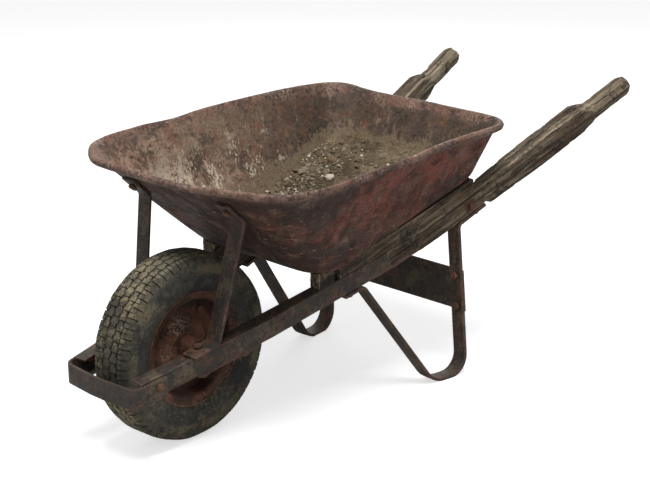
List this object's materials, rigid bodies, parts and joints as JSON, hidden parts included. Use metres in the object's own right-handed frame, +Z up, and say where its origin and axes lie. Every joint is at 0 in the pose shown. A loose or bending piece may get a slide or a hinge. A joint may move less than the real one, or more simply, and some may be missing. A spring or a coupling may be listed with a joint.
{
  "type": "wheelbarrow",
  "caption": "Old single-wheel barrow with a dented pressed steel tray of dried soil, channel rails, timber handles, bent strap legs and a treaded pneumatic wheel.",
  "frame": {"origin": "middle of the bounding box in plan, on the floor that the wheel and the feet stand on", "axes": "+X runs rearwards to the handle grips, +Y to the right of the person who holds them, +Z up"},
  "size_m": [1.4213, 0.606, 0.612],
  "materials": {
    "tray_paint": "faded oxide red paint, rusted and stained",
    "soil": "dried mud with gravel",
    "steel": "bare steel gone dark, with rust along its edges",
    "timber": "grey weathered softwood, worn at the edges",
    "rim_steel": "red-brown rust",
    "rubber": "perished rubber with dry mud",
    "fasteners": "rusted zinc"
  },
  "bodies": {
    "frame": {"tray": "tray_paint", "dried_soil": "soil", "rail_left": "steel", "rail_right": "steel", "leg_left": "steel", "leg_right": "steel", "brace_left": "steel", "brace_right": "steel", "axle_bracket_left": "steel", "axle_bracket_right": "steel", "nose_guard": "steel", "cross_plate": "steel", "handle_left": "timber", "handle_right": "timber", "riser_left": "timber", "riser_right": "timber", "riser_block_left": "timber", "riser_block_right": "timber", "handle_washer_left": "fasteners", "handle_washer_right": "fasteners", "nose_bolt_left": "fasteners", "nose_bolt_right": "fasteners", "brace_foot_bolt_left": "fasteners", "brace_foot_bolt_right": "fasteners", "brace_top_bolt_left": "fasteners", "brace_top_bolt_right": "fasteners", "bracket_bolt_left": "fasteners", "bracket_bolt_right": "fasteners", "leg_front_screw_left": "fasteners", "leg_front_screw_right": "fasteners", "leg_top_screw_left": "fasteners", "leg_top_screw_right": "fasteners", "handle_bolt_left": "fasteners", "handle_bolt_right": "fasteners", "plate_bolt_upper_left": "fasteners", "plate_bolt_upper_right": "fasteners", "plate_bolt_lower_left": "fasteners", "plate_bolt_lower_right": "fasteners", "tray_screw_front_left": "fasteners", "tray_screw_front_right": "fasteners", "tray_screw_rear_left": "fasteners", "tray_screw_rear_right": "fasteners", "axle_nut_left": "fasteners", "axle_nut_right": "fasteners", "axle_spacer_left": "fasteners", "axle_spacer_right": "fasteners", "axle": "fasteners"},
    "wheel": {"tyre": "rubber", "hub": "rim_steel", "rim_half_left": "rim_steel", "rim_half_right": "rim_steel", "hub_bush_left": "fasteners", "hub_bush_right": "fasteners", "rim_bolt_1": "fasteners", "rim_bolt_2": "fasteners", "rim_bolt_3": "fasteners", "rim_bolt_4": "fasteners", "rim_bolt_5": "fasteners", "rim_bolt_6": "fasteners"}
  },
  "joints": [
    {"name": "wheel_spin", "type": "hinge", "parent": "frame", "child": "wheel", "pos_m": [-0.48895, 0, 0.2], "axis": [0, 1, 0], "continuous": true}
  ]
}
